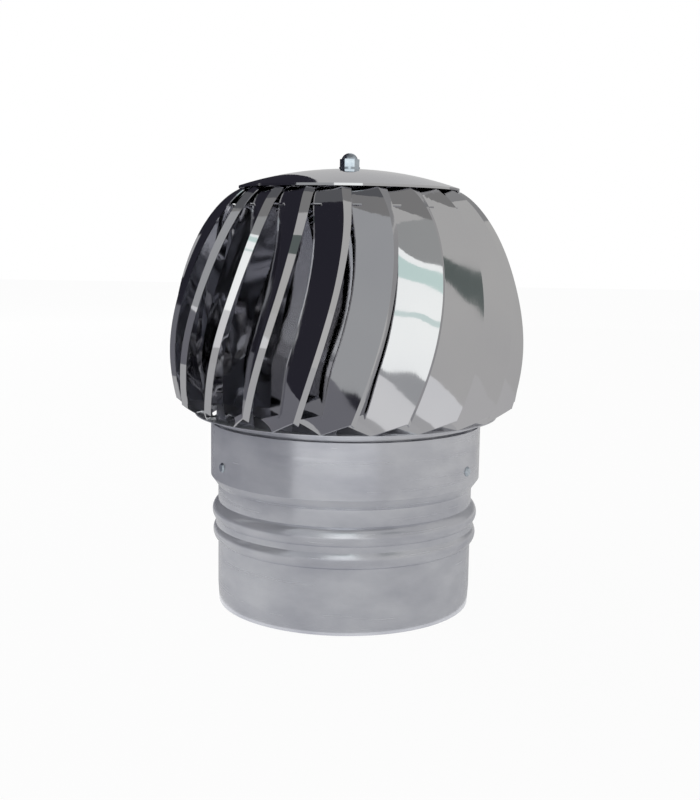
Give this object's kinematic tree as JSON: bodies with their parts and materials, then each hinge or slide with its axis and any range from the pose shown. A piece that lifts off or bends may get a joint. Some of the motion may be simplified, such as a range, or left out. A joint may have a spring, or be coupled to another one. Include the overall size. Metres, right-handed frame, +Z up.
{
  "type": "roof turbine ventilator",
  "caption": "Wind-driven roof turbine ventilator: a domed head of overlapping swept blades that turns on a beaded round collar for a flue or duct.",
  "frame": {"origin": "centre of the collar's lower rim, on the axis", "axes": "+Z up along the axis the head turns on, -Y towards the viewer of the picture, +X to that viewer's right"},
  "size_m": [0.2735, 0.2732, 0.349],
  "materials": {
    "polished_sheet": "mirror-polished stainless sheet",
    "satin_sheet": "satin stainless sheet",
    "zinc_plated_steel": "zinc-plated steel",
    "fastener_steel": "bright zinc-plated fastener",
    "ground_steel": "ground bearing steel",
    "bronze": "plain bronze"
  },
  "bodies": {
    "base": {"spigot_collar": "satin_sheet", "throat_ring": "satin_sheet", "upper_bracket": "zinc_plated_steel", "lower_bracket": "zinc_plated_steel", "bracket_rivets": "fastener_steel", "bearing_housing": "zinc_plated_steel", "lower_bush": "bronze", "bearing_outer_race": "ground_steel"},
    "ball_set": {"bearing_balls": "ground_steel", "bearing_cage": "bronze"},
    "head": {"blade_01": "polished_sheet", "blade_02": "polished_sheet", "blade_03": "polished_sheet", "blade_04": "polished_sheet", "blade_05": "polished_sheet", "blade_06": "polished_sheet", "blade_07": "polished_sheet", "blade_08": "polished_sheet", "blade_09": "polished_sheet", "blade_10": "polished_sheet", "blade_11": "polished_sheet", "blade_12": "polished_sheet", "blade_13": "polished_sheet", "blade_14": "polished_sheet", "blade_15": "polished_sheet", "blade_16": "polished_sheet", "blade_17": "polished_sheet", "blade_18": "polished_sheet", "blade_19": "polished_sheet", "blade_20": "polished_sheet", "blade_21": "polished_sheet", "blade_ring": "satin_sheet", "vane_plate": "satin_sheet", "plate_hub": "zinc_plated_steel", "hub_rivets": "fastener_steel", "rain_cap": "polished_sheet", "cap_spacer": "zinc_plated_steel", "cap_washer": "fastener_steel", "acorn_nut": "fastener_steel", "shaft": "ground_steel", "shaft_collar": "zinc_plated_steel", "rain_slinger": "zinc_plated_steel", "bearing_inner_race": "ground_steel", "shaft_washer": "fastener_steel", "shaft_nut": "fastener_steel"}
  },
  "joints": [
    {"name": "head_spin", "type": "hinge", "parent": "base", "child": "head", "pos_m": [0, 0, 0.148], "axis": [0, 0, 1], "continuous": true},
    {"name": "ball_set_spin", "type": "hinge", "parent": "base", "child": "ball_set", "pos_m": [0, 0, 0.148], "axis": [0, 0, 1], "continuous": true}
  ],
  "couplings": [
    {"joint": "ball_set_spin", "follows": "head_spin", "ratio": 0.3678}
  ]
}
